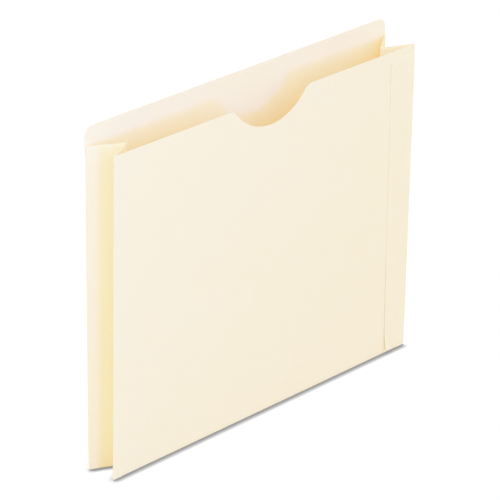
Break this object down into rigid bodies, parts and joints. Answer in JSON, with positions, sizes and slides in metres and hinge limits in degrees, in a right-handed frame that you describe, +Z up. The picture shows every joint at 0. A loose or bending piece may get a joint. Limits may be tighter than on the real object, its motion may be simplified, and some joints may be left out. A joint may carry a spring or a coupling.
{
  "type": "expanding file jacket",
  "caption": "Manila file jacket with folding side and bottom gussets, a thumb notch in the front panel and a rounded tab along the back panel.",
  "frame": {"origin": "on the surface that the jacket stands on, half way between the two panels and half way along them", "axes": "+Z up; +X along the panels to the right as seen from the front; +Y from the front panel to the back panel with the tab"},
  "size_m": [0.3, 0.0244, 0.2413],
  "materials": {
    "manila_board": "uncoated manila board, matt",
    "glue": "dried paper glue"
  },
  "bodies": {
    "back": {"back_panel": "manila_board", "tab_reinforcement": "manila_board", "tab_glue": "glue", "rear_seam_flap": "manila_board", "rear_seam_glue": "glue"},
    "left_rear_leaf": {"left_gusset_rear_leaf": "manila_board"},
    "left_front_leaf": {"left_gusset_front_leaf": "manila_board"},
    "front": {"front_panel": "manila_board", "front_seam_flap": "manila_board", "front_seam_glue": "glue"},
    "right_rear_leaf": {"right_gusset_rear_leaf": "manila_board"},
    "right_front_leaf": {"right_gusset_front_leaf": "manila_board"},
    "bottom_rear_leaf": {"bottom_gusset_rear_leaf": "manila_board"},
    "bottom_front_leaf": {"bottom_gusset_front_leaf": "manila_board"}
  },
  "joints": [
    {"name": "left_rear_crease", "type": "hinge", "parent": "back", "child": "left_rear_leaf", "pos_m": [-0.14894, 0.0115, 0.1143], "axis": [0, 0, -1], "range_deg": [-23.08, 63.71]},
    {"name": "left_centre_crease", "type": "hinge", "parent": "left_rear_leaf", "child": "left_front_leaf", "pos_m": [-0.1263, 0, 0.1143], "axis": [0, 0, 1], "range_deg": [-46.16, 127.42]},
    {"name": "left_front_crease", "type": "hinge", "parent": "left_front_leaf", "child": "front", "pos_m": [-0.14894, -0.0115, 0.1143], "axis": [0, 0, -1], "range_deg": [-23.08, 63.71]},
    {"name": "right_rear_crease", "type": "hinge", "parent": "back", "child": "right_rear_leaf", "pos_m": [0.14894, 0.0115, 0.1143], "axis": [0, 0, 1], "range_deg": [-23.08, 63.71]},
    {"name": "right_centre_crease", "type": "hinge", "parent": "right_rear_leaf", "child": "right_front_leaf", "pos_m": [0.1263, 0, 0.1143], "axis": [0, 0, -1], "range_deg": [-46.16, 127.42]},
    {"name": "bottom_rear_crease", "type": "hinge", "parent": "back", "child": "bottom_rear_leaf", "pos_m": [0, 0.0115, 0.00028], "axis": [1, 0, 0], "range_deg": [-23.08, 63.71]},
    {"name": "bottom_centre_crease", "type": "hinge", "parent": "bottom_rear_leaf", "child": "bottom_front_leaf", "pos_m": [0, 0, 0.02293], "axis": [-1, 0, 0], "range_deg": [-46.16, 127.42]}
  ],
  "couplings": [
    {"joint": "left_centre_crease", "follows": "left_rear_crease", "ratio": 2},
    {"joint": "left_front_crease", "follows": "left_rear_crease", "ratio": 1},
    {"joint": "right_rear_crease", "follows": "left_rear_crease", "ratio": 1},
    {"joint": "right_centre_crease", "follows": "left_rear_crease", "ratio": 2},
    {"joint": "bottom_rear_crease", "follows": "left_rear_crease", "ratio": 1},
    {"joint": "bottom_centre_crease", "follows": "left_rear_crease", "ratio": 2}
  ]
}
